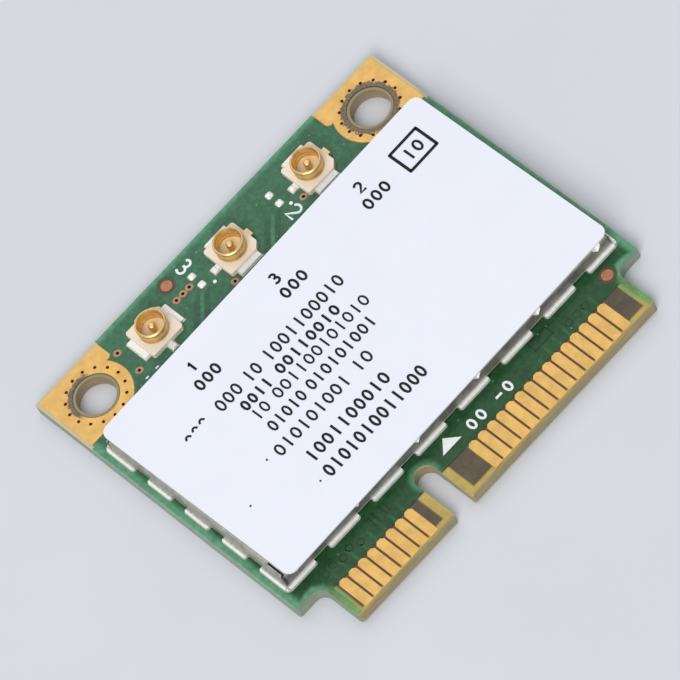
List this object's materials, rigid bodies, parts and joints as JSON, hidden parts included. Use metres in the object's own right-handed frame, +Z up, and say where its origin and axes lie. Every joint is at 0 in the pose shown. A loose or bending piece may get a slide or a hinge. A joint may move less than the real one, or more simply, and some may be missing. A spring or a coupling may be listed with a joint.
{
  "type": "mini card radio module",
  "caption": "Flat half-length mini card with an edge contact tongue, mounting holes, antenna sockets and a labelled shield can over its radio parts.",
  "frame": {"origin": "centre of the card's footprint on its underside", "axes": "+X along the connector edge, +Y from the connector edge to the mounting holes, +Z up out of the component face"},
  "size_m": [0.0296, 0.0266, 0.0022],
  "materials": {
    "laminate": "satin",
    "green_mask": "gloss",
    "gold_plating": "satin",
    "bare_copper": "satin",
    "solder": "satin",
    "socket_plastic": "matte",
    "socket_gold": "gloss",
    "tinned_sheet": "satin",
    "label_film": "matte",
    "chip_epoxy": "matte",
    "module_epoxy": "satin",
    "ceramic_body": "matte",
    "ferrite": "matte",
    "crystal_lid": "satin"
  },
  "bodies": {
    "root": {"circuit_board": "laminate", "solder_mask_top": "green_mask", "solder_mask_bottom": "green_mask", "edge_contacts_top_short": "gold_plating", "edge_contacts_top_long": "gold_plating", "edge_contacts_bottom_short": "gold_plating", "edge_contacts_bottom_long": "gold_plating", "ground_pad_left_top": "gold_plating", "ground_pad_left_bottom": "gold_plating", "ground_pad_right_top": "gold_plating", "ground_pad_right_bottom": "gold_plating", "via_rings_top": "bare_copper", "via_rings_bottom": "bare_copper", "alignment_marks": "bare_copper", "spare_lands": "solder", "socket_lands": "solder", "component_lands": "solder", "shield_lands": "solder", "antenna_socket_left_base": "socket_plastic", "antenna_socket_middle_base": "socket_plastic", "antenna_socket_right_base": "socket_plastic", "antenna_socket_left_shell": "socket_gold", "antenna_socket_middle_shell": "socket_gold", "antenna_socket_right_shell": "socket_gold", "antenna_socket_left_pin": "socket_gold", "antenna_socket_middle_pin": "socket_gold", "antenna_socket_right_pin": "socket_gold", "shield_can": "tinned_sheet", "can_label": "label_film", "radio_chip": "chip_epoxy", "configuration_memory": "chip_epoxy", "power_converter": "chip_epoxy", "front_end_module_left": "module_epoxy", "front_end_module_middle": "module_epoxy", "front_end_module_right": "module_epoxy", "bulk_capacitors": "ceramic_body", "small_capacitors": "ceramic_body", "band_filter_left": "ceramic_body", "band_filter_middle": "ceramic_body", "band_filter_right": "ceramic_body", "power_inductors": "ferrite", "reference_crystal": "crystal_lid"}
  },
  "joints": []
}
